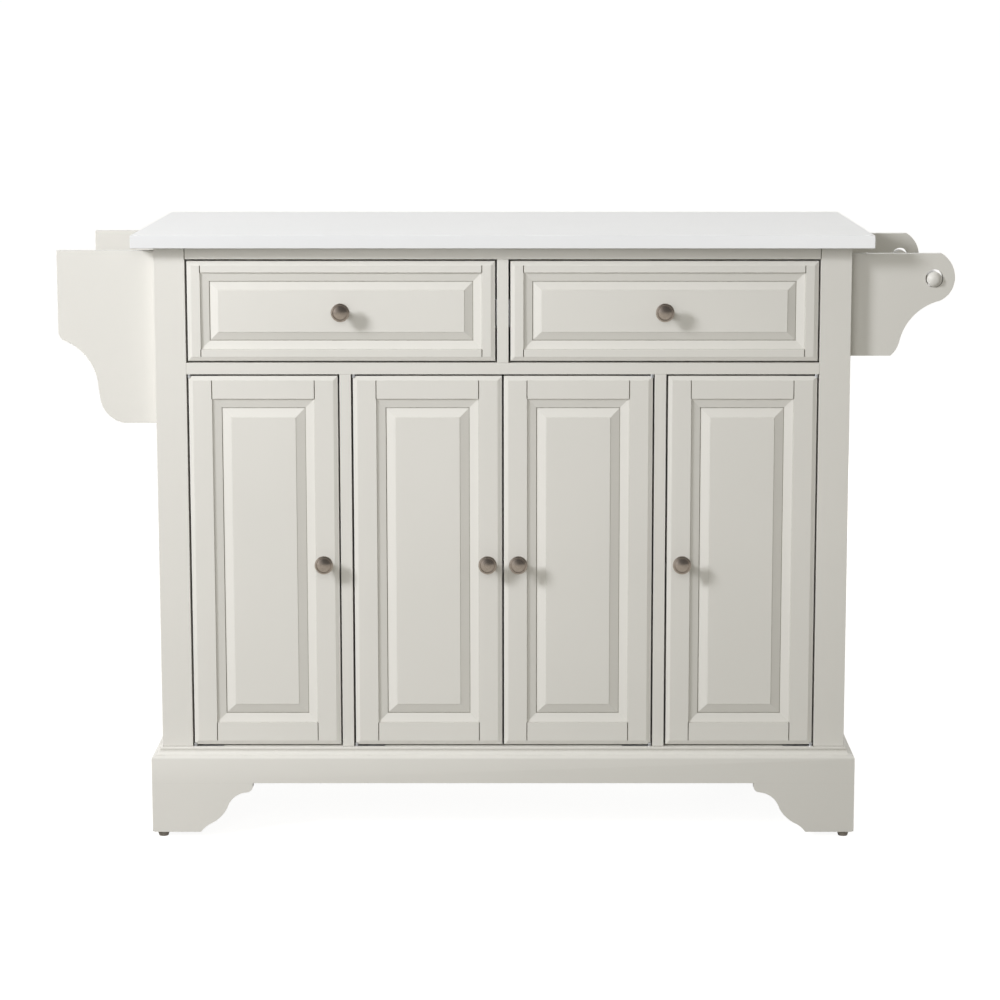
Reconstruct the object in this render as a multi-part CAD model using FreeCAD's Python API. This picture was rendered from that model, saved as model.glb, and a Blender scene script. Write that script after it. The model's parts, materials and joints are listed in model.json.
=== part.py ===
import FreeCAD, Part
import math
import os

# A painted kitchen island: four inset doors under two drawers, a moulded base on
# bracket feet, a spice rack on the left end, a towel rod on the right end, and a
# drop leaf hinged to the rear edge of the worktop.
#
# Millimetres.  +Z is up, the front faces -Y and +X is to the right of someone
# standing in front.  The pieces are drawn about the middle of the cabinet, and then
# all move together so that the origin lies on the floor under the middle of the whole.

V = FreeCAD.Vector
X_AXIS = V(1, 0, 0)
Y_AXIS = V(0, 1, 0)
Z_AXIS = V(0, 0, 1)

# ---------------------------------------------------------------- driving dimensions

# worktop and cabinet
counter_height = 914.0
top_width = 1090.0
top_depth = 457.0
top_thickness = 19.0
top_easing = 0.75
top_end_overhang = 30.5
top_front_overhang = 25.0

# corner posts and face frame
post_width = 45.5
rail_depth = 20.0
top_rail_height = 18.0
middle_rail_height = 17.0
stile_width = 17.0
drawer_opening_height = 154.0
front_gap = 2.8
joint_groove = 0.8

# inner boards
side_panel_thickness = 18.0
back_panel_thickness = 12.0
back_panel_recess = 4.0
floor_thickness = 18.0
deck_thickness = 12.0
shelf_thickness = 16.0
shelf_rise = 277.0
shelf_setback = 12.0
shelf_end_gap = 1.0
stretcher_width = 60.0
shelf_pin_radius = 2.5
shelf_pin_length = 14.0
shelf_pin_web = 3.0
shelf_pin_inset = 45.0

# base boards with their moulded top edge, drops measured from the cabinet floor
base_height = 138.0
base_board_height = 53.0
base_projection = 15.5
base_flat_drop = 17.0
base_bead_drop = 11.2
base_bead_width = 3.5
base_step_width = 1.5
base_cove_drop = 4.8
base_cove_width = 5.5
base_fillet = 3.5
base_edge_ease = 1.0

# bracket feet, outline measured from the outer corner
foot_bottom = 9.0
foot_width_bottom = 73.0
foot_width_top = 152.0
foot_lobe_drop = 7.0
foot_lobe_width = 8.0
foot_lobe_height = 7.3
foot_cove_width = 31.3
foot_cove_height = 25.1
foot_toe_width = 12.4
foot_toe_height = 11.7
foot_toe_sagitta = 0.9
foot_belly_sagitta = 3.2
foot_cove_sagitta = 6.5
foot_lobe_sagitta = 1.6
foot_corner_ease = 3.0

# floor glides
glide_radius_top = 10.0
glide_radius_bottom = 7.0
glide_inset = 14.5

# drawer and door fronts: a frame with a raised panel
front_thickness = 20.0
front_edge_bevel = 6.5
front_edge_drop = 2.4
moulding_width = 13.7
moulding_step = 0.8
moulding_depth = 5.5
panel_valley = 7.0
panel_tongue = 6.0
panel_tongue_thickness = 6.0
groove_spare = 2.0
panel_bevel = 14.5
panel_field_step = 0.5
panel_field_depth = 1.5
door_stile = 34.5
door_rail = 34.0
drawer_stile = 19.5
drawer_rail = 17.0
drawer_moulding_width = 13.0
drawer_panel_bevel = 13.0

# knobs: distances out from the face they stand on
knob_radius = 13.75
knob_projection = 27.0
knob_rose_radius = 8.0
knob_neck_radius = 5.2
knob_neck_start = 3.0
knob_neck_end = 10.0
knob_rim_height = 17.5
knob_rim_thickness = 1.6
knob_dome_radius = 10.6
knob_shoulder_radius = 6.8
knob_shoulder_drop = 1.9
knob_edge_inset = 21.5
knob_screw_radius = 2.0
knob_screw_grip = 8.0
screw_hole_clearance = 0.2
screw_head_radius = 4.0
screw_head_height = 2.4

# pivot hinges at the top and bottom corner of each door
pivot_from_edge = 1.2
pivot_from_face = 3.3
pivot_eye_radius = 2.8
pivot_pin_radius = 1.4
pivot_clearance = 0.06
pivot_leaf_length = 42.0
pivot_leaf_width = 7.0
pivot_leaf_thickness = 2.5
pivot_leaf_setback = 0.7
pivot_end_gap = 0.4

# drawer boxes and their tracks
drawer_wall = 12.0
drawer_rear_gap = 41.0
drawer_box_height = 115.0
drawer_box_lift = 14.0
drawer_bottom_thickness = 5.0
drawer_bottom_lift = 10.0
drawer_groove = 5.0
track_space = 13.0
track_height = 42.0
track_sheet = 1.5
track_side_play = 3.5
track_play = 0.5
track_front_setback = 4.0
track_rear_setback = 26.0

# spice rack on the left end
rack_reach = 146.0
rack_drop = 7.4
rack_height = 257.6
rack_setback = 20.0
rack_thickness = 16.0
rack_rear_setback = 17.0
rack_side_height = 120.0
rack_nose_width = 11.0
rack_nose_height = 15.0
rack_nose_bulge = 3.0
rack_waist = 88.4
rack_cove_bottom = 202.0
rack_cove_sagitta = 11.5
rack_hip = 86.0
rack_hip_top = 219.0
rack_heel = 50.6
rack_heel_sagitta = 9.0
rack_shelf_thickness = 12.0
rack_upper_shelf_drop = 124.0
rack_lower_shelf_drop = 238.0
rack_upper_shelf_reach = 137.0
rack_lower_shelf_reach = 66.0
rack_rail_thickness = 10.0
rack_rail_height = 22.0
rack_rail_lift = 38.0
rack_rail_outset = 5.0

# towel rod and its brackets on the right end
bracket_drop = 11.7
bracket_reach = 155.5
bracket_nose_drop = 36.0
bracket_nose_upper_radius = 43.0
bracket_nose_lower_radius = 37.5
bracket_nose_end_angle = 65.0
bracket_cove_bottom = 130.0
bracket_cove_waist = 75.0
bracket_cove_sagitta = 12.0
bracket_heel_width = 62.0
bracket_height = 152.2
bracket_heel_sagitta = 2.0
rod_radius = 11.25
rod_play = 2.05
rod_reach = 125.0
rod_hole_drop = 36.5
rod_rest_gap = 0.5
rod_end_reach = 8.0
rod_end_height = 6.5
rod_shoulder_radius = 6.8
rod_shoulder_drop = 1.8

# drop leaf and its butt hinges
leaf_width = 1090.0
leaf_depth = 300.0
leaf_thickness = 19.0
hinge_axis_out = 0.5
leaf_axis_gap = 0.5
knuckle_radius = 4.0
knuckle_top_gap = 0.4
knuckle_clearance = 0.6
hinge_pin_radius = 1.5
hinge_pin_clearance = 0.08
hinge_sheet = 2.0
hinge_width = 70.0
hinge_middle_knuckle = 23.4
hinge_knuckle_gap = 0.3
hinge_plate_gap = 2.5
hinge_wing_depth = 23.0
hinge_spacing = 380.0

# folding stays that hold the raised leaf
stay_inset = 28.5
stay_anchor_drop = 165.0
stay_edge_gap = 2.5
stay_bar_thickness = 3.0
stay_bar_half_width = 7.0
stay_layer_gap = 0.5
stay_pin_radius = 3.0
stay_pin_clearance = 0.08
stay_ear_sheet = 2.5
stay_foot_sheet = 2.0
stay_foot_width = 18.5
stay_bracket_height = 56.0
stay_rivet_radius = 5.0
stay_rivet_height = 1.6

# how far a cutting shape runs past the face it cuts
overshoot = 1.0

# ------------------------------------------------------------------- derived places

cabinet_side = top_width / 2 - top_end_overhang
cabinet_front = top_depth / 2 - top_front_overhang
cabinet_top = counter_height - top_thickness
opening_side = cabinet_side - post_width
post_back = cabinet_front - post_width

top_rail_bottom = cabinet_top - top_rail_height
middle_rail_top = top_rail_bottom - drawer_opening_height
middle_rail_bottom = middle_rail_top - middle_rail_height
face_back = -cabinet_front + rail_depth

back_panel_outer = cabinet_front - back_panel_recess
back_panel_inner = back_panel_outer - back_panel_thickness
deck_bottom = middle_rail_top - deck_thickness
shelf_height = base_height + shelf_rise
shelf_pin_depth = (stile_width - shelf_pin_web) / 2

door_count = 4
side_gap_count = 7
door_width = (2 * opening_side - 2 * stile_width - side_gap_count * front_gap) / door_count
door_bottom = base_height + front_gap
door_height = middle_rail_bottom - base_height - 2 * front_gap
mullion_x = opening_side - door_width - 2 * front_gap - stile_width / 2
drawer_opening_width = opening_side - stile_width / 2
drawer_width = drawer_opening_width - 2 * front_gap
drawer_height = drawer_opening_height - 2 * front_gap
drawer_middle_x = (opening_side + stile_width / 2) / 2
drawer_box_width = drawer_opening_width - 2 * track_space
drawer_box_front = -cabinet_front + front_thickness
drawer_box_back = back_panel_inner - drawer_rear_gap
track_front = drawer_box_front + track_front_setback
track_back = drawer_box_back - track_rear_setback
track_flange = track_space - track_sheet - track_side_play
runner_height = track_height - 2 * track_sheet - 2 * track_play

base_side = cabinet_side + base_projection
base_front = cabinet_front + base_projection
base_board_bottom = base_height - base_board_height
base_flat_top = base_height - base_flat_drop
base_bead_top = base_height - base_bead_drop
base_cove_top = base_height - base_cove_drop

rack_top = cabinet_top - rack_drop
bracket_top = cabinet_top - bracket_drop
rod_hole_radius = rod_radius + rod_play

hinge_axis_drop = knuckle_radius + knuckle_top_gap
hinge_y = top_depth / 2 + hinge_axis_out
hinge_z = cabinet_top - hinge_axis_drop
leaf_inner = hinge_y + hinge_axis_drop
leaf_outer = leaf_inner + leaf_thickness

# The two bars of a stay are equal and lie in one line when the leaf is level.
stay_anchor_offset = stay_bar_half_width + stay_edge_gap
anchor_y = cabinet_front + stay_anchor_offset
anchor_z = hinge_z - stay_anchor_drop
leaf_anchor_y = leaf_inner - stay_anchor_offset
raised_anchor_y = hinge_y + stay_anchor_drop
raised_anchor_z = hinge_z + leaf_anchor_y - hinge_y
stay_span = math.hypot(raised_anchor_y - anchor_y, raised_anchor_z - anchor_z)
stay_length = stay_span / 2
knee_y = (anchor_y + leaf_anchor_y) / 2
knee_z = anchor_z - math.sqrt(stay_length ** 2 - ((leaf_anchor_y - anchor_y) / 2) ** 2)

# The flat layers of a stay, from the cabinet's middle outwards.
stay_x = cabinet_side - stay_inset
lower_bar_x = stay_x + stay_ear_sheet + stay_layer_gap
upper_bar_x = lower_bar_x + stay_bar_thickness + stay_layer_gap
leaf_ear_x = upper_bar_x + stay_bar_thickness + stay_layer_gap

rod_z = bracket_top - rod_hole_drop - (rod_play - rod_rest_gap)

middle_x = (bracket_reach - rack_reach) / 2
middle_y = (leaf_outer - cabinet_front - knob_projection) / 2


# ------------------------------------------------------------------------- helpers

def board(x0, x1, y0, y1, z0, z1):
    """A plain board between two corners."""
    return Part.makeBox(x1 - x0, y1 - y0, z1 - z0, V(x0, y0, z0))


def prism(points, along):
    """A straight piece with a cornered outline."""
    return Part.Face(Part.makePolygon(points + [points[0]])).extrude(along)


def sawn(edges, along):
    """A board sawn to an outline of lines and arcs."""
    return Part.Face(Part.Wire(edges)).extrude(along)


def line(start, end):
    return Part.LineSegment(start, end).toShape()


def arc(start, middle, end):
    return Part.Arc(start, middle, end).toShape()


def bowed(start, end, sagitta):
    """An arc that stands off its chord by the sagitta, in the plane of X and Z."""
    chord = end - start
    across = V(-chord.z, 0, chord.x).normalize()
    return arc(start, (start + end) * 0.5 + across * sagitta, end)


def quarter_round(start, corner, end):
    """An arc that turns from one line of a corner to the other."""
    chord_middle = (start + end) * 0.5
    return arc(start, chord_middle + (corner - chord_middle) * (math.sqrt(2) - 1), end)


def cornered(points):
    """Straight edges from each point to the next."""
    return [line(start, end) for start, end in zip(points, points[1:])]


def rod(start, along, radius, length):
    return Part.makeCylinder(radius, length, start, along)


def stepped_block(width, height, steps):
    """A block bounded alike on all four sides, its steps given as (inset x, inset z, y) from the front.

    Where two prisms cross, the upright one shapes the sides and the level one top and bottom.
    """
    left = [V(inset_x, y, 0) for inset_x, inset_z, y in steps]
    right = [V(width - inset_x, y, 0) for inset_x, inset_z, y in reversed(steps)]
    lower = [V(0, y, inset_z) for inset_x, inset_z, y in steps]
    upper = [V(0, y, height - inset_z) for inset_x, inset_z, y in reversed(steps)]
    upright = prism(left + right, V(0, 0, height))
    return upright.common(prism(lower + upper, V(width, 0, 0)))


def mirrored_x(shape):
    return shape.mirror(V(0, 0, 0), X_AXIS)


def mirrored_y(shape):
    return shape.mirror(V(0, 0, 0), Y_AXIS)


def at_both_ends(shape):
    return [shape, mirrored_x(shape)]


def at_four_corners(shape):
    return at_both_ends(shape) + at_both_ends(mirrored_y(shape))


# ------------------------------------------------------------------ cabinet boards

def eased_board(width, depth, thickness, easing):
    """A worktop board with its long edges just broken, top face at zero."""
    blank = board(-width / 2, width / 2, 0, depth, -thickness, 0)
    return blank.makeChamfer(easing, blank.Edges)


def make_countertop():
    top = eased_board(top_width, top_depth, top_thickness, top_easing)
    return [top.translate(V(0, -top_depth / 2, counter_height))]


def make_corner_posts():
    post = board(opening_side, cabinet_side, -cabinet_front, -post_back, foot_bottom, cabinet_top)
    front_post = post.cut(vee_groove(opening_side, -cabinet_front, top_rail_bottom, cabinet_top))
    return at_both_ends(front_post) + at_both_ends(mirrored_y(post))


def vee_groove(x, face, z0, z1):
    """The fine V left in a face where two pieces meet along a vertical line."""
    half = joint_groove + overshoot
    corners = [V(x - half, face - overshoot, z0), V(x + half, face - overshoot, z0),
               V(x, face + joint_groove, z0)]
    return prism(corners, V(0, 0, z1 - z0))


def make_front_rails():
    top_rail = board(-opening_side, opening_side, -cabinet_front, face_back, top_rail_bottom, cabinet_top)
    middle_rail = board(-opening_side, opening_side, -cabinet_front, face_back,
                        middle_rail_bottom, middle_rail_top)
    for side in (-1, 1):
        groove = vee_groove(side * opening_side, -cabinet_front, top_rail_bottom, cabinet_top)
        top_rail = top_rail.cut(groove)
    for leaf in cabinet_pivot_leaves(upper=True):
        middle_rail = middle_rail.cut(leaf)
    return [top_rail, middle_rail]


def make_front_stiles():
    half = stile_width / 2
    drawer_stile_post = board(-half, half, -cabinet_front, face_back, middle_rail_top, top_rail_bottom)
    mullion = board(mullion_x - half, mullion_x + half, -cabinet_front, face_back,
                    base_height, middle_rail_bottom)
    return [drawer_stile_post] + at_both_ends(mullion)


def make_side_panels():
    panel = board(opening_side, opening_side + side_panel_thickness, -post_back, post_back,
                  base_height, cabinet_top)
    for hole in shelf_pin_rods():
        panel = panel.cut(hole)
    return at_both_ends(panel)


def make_back_panel():
    return [board(-opening_side, opening_side, back_panel_inner, back_panel_outer,
                  base_height, cabinet_top)]


def make_rear_stretcher():
    return [board(-opening_side, opening_side, back_panel_inner - stretcher_width, back_panel_inner,
                  top_rail_bottom, cabinet_top)]


def make_cabinet_floor():
    floor = board(-cabinet_side, cabinet_side, -cabinet_front, cabinet_front,
                  base_height - floor_thickness, base_height)
    for post in make_corner_posts():
        floor = floor.cut(post)
    for leaf in cabinet_pivot_leaves(upper=False):
        floor = floor.cut(leaf)
    return [floor]


def make_drawer_deck():
    return [board(-opening_side, opening_side, face_back, back_panel_inner, deck_bottom, middle_rail_top)]


def make_partitions():
    half = stile_width / 2
    partition = board(mullion_x - half, mullion_x + half, face_back, back_panel_inner,
                      base_height, deck_bottom)
    for hole in shelf_pin_rods():
        partition = partition.cut(hole)
    return at_both_ends(partition)


def make_drawer_divider():
    half = stile_width / 2
    divider = board(-half, half, face_back, back_panel_inner, middle_rail_top, cabinet_top)
    return [divider.cut(make_rear_stretcher()[0])]


# ------------------------------------------------------------------ shelves and pins

def shelf_pin_rods():
    """The pins on the right half of the cabinet: two walls of each compartment."""
    near = face_back + shelf_pin_inset
    far = back_panel_inner - shelf_pin_inset
    z = shelf_height - shelf_thickness - shelf_pin_radius
    half = stile_width / 2
    pins = []
    for y in (near, far):
        for wall, into in ((opening_side, 1), (mullion_x + half, -1), (mullion_x - half, 1)):
            start = V(wall + into * shelf_pin_depth, y, z)
            pins.append(rod(start, V(-into, 0, 0), shelf_pin_radius, shelf_pin_length))
    return pins


def make_shelf_pins():
    pins = shelf_pin_rods()
    return pins + [mirrored_x(pin) for pin in pins]


def make_shelves():
    half = stile_width / 2
    front = face_back + shelf_setback
    back = back_panel_inner - shelf_end_gap
    bottom = shelf_height - shelf_thickness
    outer = board(mullion_x + half + shelf_end_gap, opening_side - shelf_end_gap,
                  front, back, bottom, shelf_height)
    inner = mullion_x - half - shelf_end_gap
    middle = board(-inner, inner, front, back, bottom, shelf_height)
    return at_both_ends(outer) + [middle]


# ------------------------------------------------------------------ base and feet

def base_profile(face, at, out):
    """Section of a base board: plain face, bead, cove and a small fillet at the top."""
    def point(projection, z):
        return at + out * (face + projection) + Z_AXIS * z
    bead_in = base_projection - base_bead_width
    cove_out = bead_in - base_step_width
    cove_in = cove_out - base_cove_width
    face_top = point(base_projection, base_flat_top)
    bead_top = point(bead_in, base_bead_top)
    cove_bottom = point(cove_out, base_bead_top)
    cove_top = point(cove_in, base_cove_top)
    start = point(0, base_board_bottom)
    below = cornered([start, point(base_projection, base_board_bottom), face_top])
    bead = quarter_round(face_top, point(base_projection, base_bead_top), bead_top)
    cove = quarter_round(cove_bottom, point(cove_in, base_bead_top), cove_top)
    above = cornered([cove_top, point(base_fillet, base_cove_top),
                      point(base_fillet, base_height - base_edge_ease),
                      point(base_fillet - base_edge_ease, base_height), point(0, base_height), start])
    return below + [bead, line(bead_top, cove_bottom), cove] + above


def front_mitre(z0, z1):
    """What lies in front of the cabinet between the two mitred corners."""
    corners = [V(-base_side, -base_front, z0), V(base_side, -base_front, z0),
               V(cabinet_side, -cabinet_front, z0), V(-cabinet_side, -cabinet_front, z0)]
    return prism(corners, V(0, 0, z1 - z0))


def side_mitre(z0, z1):
    corners = [V(base_side, -base_front, z0), V(base_side, base_front, z0),
               V(cabinet_side, cabinet_front, z0), V(cabinet_side, -cabinet_front, z0)]
    return prism(corners, V(0, 0, z1 - z0))


def make_base_boards():
    front = sawn(base_profile(cabinet_front, V(-base_side, 0, 0), V(0, -1, 0)), V(2 * base_side, 0, 0))
    front = front.common(front_mitre(base_board_bottom, base_height))
    side = sawn(base_profile(cabinet_side, V(0, -base_front, 0), X_AXIS), V(0, 2 * base_front, 0))
    side = side.common(side_mitre(base_board_bottom, base_height))
    return [front, mirrored_y(front), side, mirrored_x(side)]


def foot_outline():
    """Bracket foot seen from the front, with its outer corner at x = 0, foot to +X."""
    top = base_board_bottom
    lobe_x = foot_width_top
    lobe_z = top - foot_lobe_drop
    cove_x = lobe_x - foot_lobe_width
    cove_z = lobe_z - foot_lobe_height
    waist_x = cove_x - foot_cove_width
    waist_z = cove_z - foot_cove_height
    toe_x = foot_width_bottom + foot_toe_width
    toe_z = foot_bottom + foot_toe_height
    ease = foot_corner_ease
    heel = V(foot_width_bottom, 0, foot_bottom)
    toe = V(toe_x, 0, toe_z)
    waist = V(waist_x, 0, waist_z)
    cove = V(cove_x, 0, cove_z)
    lobe = V(lobe_x, 0, lobe_z)
    scroll = [
        bowed(heel, toe, foot_toe_sagitta),
        bowed(toe, waist, -foot_belly_sagitta),
        bowed(waist, cove, foot_cove_sagitta),
        bowed(cove, lobe, -foot_lobe_sagitta),
    ]
    return scroll + cornered([lobe, V(lobe_x, 0, top), V(0, 0, top), V(0, 0, foot_bottom + ease),
                              V(ease, 0, foot_bottom), heel])


def make_bracket_feet():
    blank = sawn(foot_outline(), V(0, base_projection, 0))
    front = blank.copy()
    front.translate(V(-base_side, -base_front, 0))
    front = front.common(front_mitre(foot_bottom, base_board_bottom))
    side = blank.copy()
    side.rotate(V(0, 0, 0), Z_AXIS, 90)
    side.translate(V(base_side, -base_front, 0))
    side = side.common(side_mitre(foot_bottom, base_board_bottom))
    return at_four_corners(front) + at_four_corners(side)


def make_floor_glides():
    place = V(base_side - glide_inset, base_front - glide_inset, 0)
    return at_four_corners(Part.makeCone(glide_radius_bottom, glide_radius_top, foot_bottom, place))


# ------------------------------------------------------- framed fronts and their knobs

def framed_front(width, height, stile, rail, moulding, bevel):
    """Stiles, rails and raised panel of a door or drawer front, lower left corner at zero.

    The face lies at y = 0 and the thickness runs back from it.
    """
    blank = stepped_block(width, height, [(front_edge_bevel, front_edge_bevel, 0), (0, 0, front_edge_drop),
                                          (0, 0, front_thickness)])
    sight_x = stile + moulding
    sight_z = rail + moulding
    window = stepped_block(width, height, [(stile, rail, -overshoot), (stile, rail, moulding_step),
                                           (sight_x, sight_z, moulding_depth),
                                           (sight_x, sight_z, front_thickness + overshoot)])
    groove_x = sight_x - panel_tongue - groove_spare
    groove_z = sight_z - panel_tongue - groove_spare
    groove = board(groove_x, width - groove_x, panel_valley, panel_valley + panel_tongue_thickness,
                   groove_z, height - groove_z)
    frame = blank.cut(window).cut(groove)
    for x in (stile, width - stile):
        for z0, z1 in ((front_edge_bevel, rail), (height - rail, height - front_edge_bevel)):
            frame = frame.cut(vee_groove(x, 0, z0, z1))

    members = []
    for stile_half in (False, True):
        corners = [(0, 0), (stile, 0), (stile, rail), (sight_x, sight_z), (sight_x, height - sight_z),
                   (stile, height - rail), (stile, height), (0, height)]
        members.append(member(frame, corners, width, stile_half))
    for upper in (False, True):
        corners = [(stile, 0), (width - stile, 0), (width - stile, rail), (width - sight_x, sight_z),
                   (sight_x, sight_z), (stile, rail)]
        corners = [(x, height - z) for x, z in corners] if upper else corners
        members.append(member(frame, corners, width, False))

    edge_x = sight_x - panel_tongue
    edge_z = sight_z - panel_tongue
    tongue = board(edge_x, width - edge_x, panel_valley, panel_valley + panel_tongue_thickness,
                   edge_z, height - edge_z)
    field_x = sight_x + bevel
    field_z = sight_z + bevel
    field = stepped_block(width, height, [(field_x, field_z, panel_field_depth),
                                          (field_x, field_z, panel_field_depth + panel_field_step),
                                          (sight_x, sight_z, panel_valley)])
    return members, tongue.fuse(field)


def member(frame, corners, width, flip):
    """One stile or rail: the part of the whole frame inside an outline seen from the front."""
    if flip:
        corners = [(width - x, z) for x, z in corners]
    points = [V(x, -overshoot, z) for x, z in corners]
    return frame.common(prism(points, V(0, front_thickness + 2 * overshoot, 0)))


def knob_shape():
    """Turned knob with a rose, a neck opening into a bell, a flat rim and a domed centre."""
    rim_top = knob_rim_height + knob_rim_thickness
    profile = [
        (0, 0),
        (knob_rose_radius, 0),
        (knob_neck_radius, knob_neck_start),
        (knob_neck_radius, knob_neck_end),
        (knob_radius, knob_rim_height),
        (knob_radius, rim_top),
        (knob_dome_radius, rim_top),
        (knob_shoulder_radius, knob_projection - knob_shoulder_drop),
        (0, knob_projection),
        (0, 0),
    ]
    points = [V(radius, 0, out) for radius, out in profile]
    turned = Part.Face(Part.makePolygon(points)).revolve(V(0, 0, 0), Z_AXIS, 360)
    turned.rotate(V(0, 0, 0), X_AXIS, 90)
    return turned


def knob_and_screw(x, face_y, z, grip_back):
    """A knob on a face at face_y, and the screw that holds it from behind, head at grip_back."""
    knob = knob_shape()
    knob.translate(V(x, face_y, z))
    tip = face_y - knob_screw_grip
    shank = rod(V(x, tip, z), Y_AXIS, knob_screw_radius, grip_back - tip)
    head = rod(V(x, grip_back, z), Y_AXIS, screw_head_radius, screw_head_height)
    return [knob.cut(shank), shank.fuse(head)]


def screw_passage(x, z, y0, y1):
    return rod(V(x, y0, z), Y_AXIS, knob_screw_radius + screw_hole_clearance, y1 - y0)


# ------------------------------------------------------------------------- doors

def door_left(number):
    """Left edge of a door, counted 1 to 4 from the left."""
    half = stile_width / 2
    return {
        1: -opening_side + front_gap,
        2: -mullion_x + half + front_gap,
        3: front_gap / 2,
        4: mullion_x + half + front_gap,
    }[number]


def hinged_on_left(number):
    return number in (1, 2)


def pivot_x(number):
    left = door_left(number)
    return left + pivot_from_edge if hinged_on_left(number) else left + door_width - pivot_from_edge


def pivot_y():
    return -cabinet_front + pivot_from_face


def pivot_leaf(number, z0):
    """A flat steel leaf with a round eye about the pivot, let into an edge."""
    x = pivot_x(number)
    toward = 1 if hinged_on_left(number) else -1
    ends = sorted((x, x + toward * pivot_leaf_length))
    eye = rod(V(x, pivot_y(), z0), Z_AXIS, pivot_eye_radius, pivot_leaf_thickness)
    bar_front = pivot_y() - pivot_leaf_setback
    bar = board(ends[0], ends[1], bar_front, bar_front + pivot_leaf_width, z0, z0 + pivot_leaf_thickness)
    return eye.fuse(bar)


def cabinet_pivot_leaves(upper):
    z0 = middle_rail_bottom if upper else base_height - pivot_leaf_thickness
    return [pivot_leaf(number, z0) for number in range(1, door_count + 1)]


def make_cabinet_pivots():
    """Fixed leaves, each with its collar and pin reaching into the door's own leaf."""
    pieces = []
    collar = front_gap - pivot_end_gap
    pin = front_gap + pivot_leaf_thickness - pivot_end_gap
    for number in range(1, door_count + 1):
        for upper, z, toward_door in ((True, middle_rail_bottom, -Z_AXIS), (False, base_height, Z_AXIS)):
            leaf = cabinet_pivot_leaves(upper)[number - 1]
            start = V(pivot_x(number), pivot_y(), z)
            leaf = leaf.fuse([rod(start, toward_door, pivot_eye_radius, collar),
                              rod(start, toward_door, pivot_pin_radius, pin)])
            pieces.append(leaf.removeSplitter())
    return pieces


def door_pivot_leaves(number):
    leaves = []
    for z0 in (door_bottom, door_bottom + door_height - pivot_leaf_thickness):
        hole = rod(V(pivot_x(number), pivot_y(), z0), Z_AXIS,
                   pivot_pin_radius + pivot_clearance, pivot_leaf_thickness)
        leaves.append(pivot_leaf(number, z0).cut(hole))
    return leaves


def make_door(number):
    left = door_left(number)
    members, panel = framed_front(door_width, door_height, door_stile, door_rail,
                                  moulding_width, panel_bevel)
    place = V(left, -cabinet_front, door_bottom)
    for piece in members + [panel]:
        piece.translate(place)
    reach = door_width - knob_edge_inset if hinged_on_left(number) else knob_edge_inset
    knob_x = left + reach
    knob_z = door_bottom + door_height / 2
    back = -cabinet_front + front_thickness
    passage = screw_passage(knob_x, knob_z, -cabinet_front, back)
    solid_leaves = [pivot_leaf(number, z0)
                    for z0 in (door_bottom, door_bottom + door_height - pivot_leaf_thickness)]
    frame = [piece.cut([passage] + solid_leaves) for piece in members]
    name = "door_%d_" % number
    return {
        name + "frame": frame,
        name + "panel": [panel],
        name + "knob": knob_and_screw(knob_x, -cabinet_front, knob_z, back),
        name + "pivots": door_pivot_leaves(number),
    }


# ------------------------------------------------------------------------- drawers

def make_drawer(side_name, sign):
    middle = sign * drawer_middle_x
    front_bottom = middle_rail_top + front_gap
    members, panel = framed_front(drawer_width, drawer_height, drawer_stile, drawer_rail,
                                  drawer_moulding_width, drawer_panel_bevel)
    place = V(middle - drawer_width / 2, -cabinet_front, front_bottom)
    for piece in members + [panel]:
        piece.translate(place)

    knob_z = front_bottom + drawer_height / 2
    field = -cabinet_front + panel_field_depth
    box_front = drawer_box_front
    box_back = drawer_box_back
    passage = screw_passage(middle, knob_z, -cabinet_front, box_front + drawer_wall)

    half = drawer_box_width / 2
    z0 = middle_rail_top + drawer_box_lift
    z1 = z0 + drawer_box_height
    bottom_z = z0 + drawer_bottom_lift
    slab = board(middle - half + drawer_wall - drawer_groove, middle + half - drawer_wall + drawer_groove,
                 box_front + drawer_wall - drawer_groove, box_back - drawer_wall + drawer_groove,
                 bottom_z, bottom_z + drawer_bottom_thickness)
    walls = [
        board(middle - half, middle - half + drawer_wall, box_front, box_back, z0, z1),
        board(middle + half - drawer_wall, middle + half, box_front, box_back, z0, z1),
        board(middle - half + drawer_wall, middle + half - drawer_wall,
              box_front, box_front + drawer_wall, z0, z1),
        board(middle - half + drawer_wall, middle + half - drawer_wall,
              box_back - drawer_wall, box_back, z0, z1),
    ]
    walls = [wall.cut([slab, passage]) for wall in walls]
    name = side_name + "_drawer_"
    return {
        name + "front_frame": members,
        name + "front_panel": [panel.cut(passage)],
        name + "knob": knob_and_screw(middle, field, knob_z, box_front + drawer_wall),
        name + "box": walls,
        name + "bottom": [slab],
        name + "runners": [channel(middle - half, -1, runner_height),
                           channel(middle + half, 1, runner_height)],
    }


def channel(x, toward, height):
    """A steel channel with its web on the wall at x and its flanges pointing toward +X or -X."""
    middle_z = middle_rail_top + drawer_box_lift + drawer_box_height / 2
    y0 = track_front
    y1 = track_back
    web = sorted((x, x + toward * track_sheet))
    lip = sorted((x, x + toward * track_flange))
    z0 = middle_z - height / 2
    z1 = middle_z + height / 2
    pieces = board(web[0], web[1], y0, y1, z0, z1)
    for low in (z0, z1 - track_sheet):
        pieces = pieces.fuse(board(lip[0], lip[1], y0, y1, low, low + track_sheet))
    return pieces.removeSplitter()


def make_drawer_tracks():
    inner_wall = stile_width / 2
    return [channel(opening_side, -1, track_height), channel(-opening_side, 1, track_height),
            channel(inner_wall, 1, track_height), channel(-inner_wall, -1, track_height)]


# ----------------------------------------------------------- spice rack, left end

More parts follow.
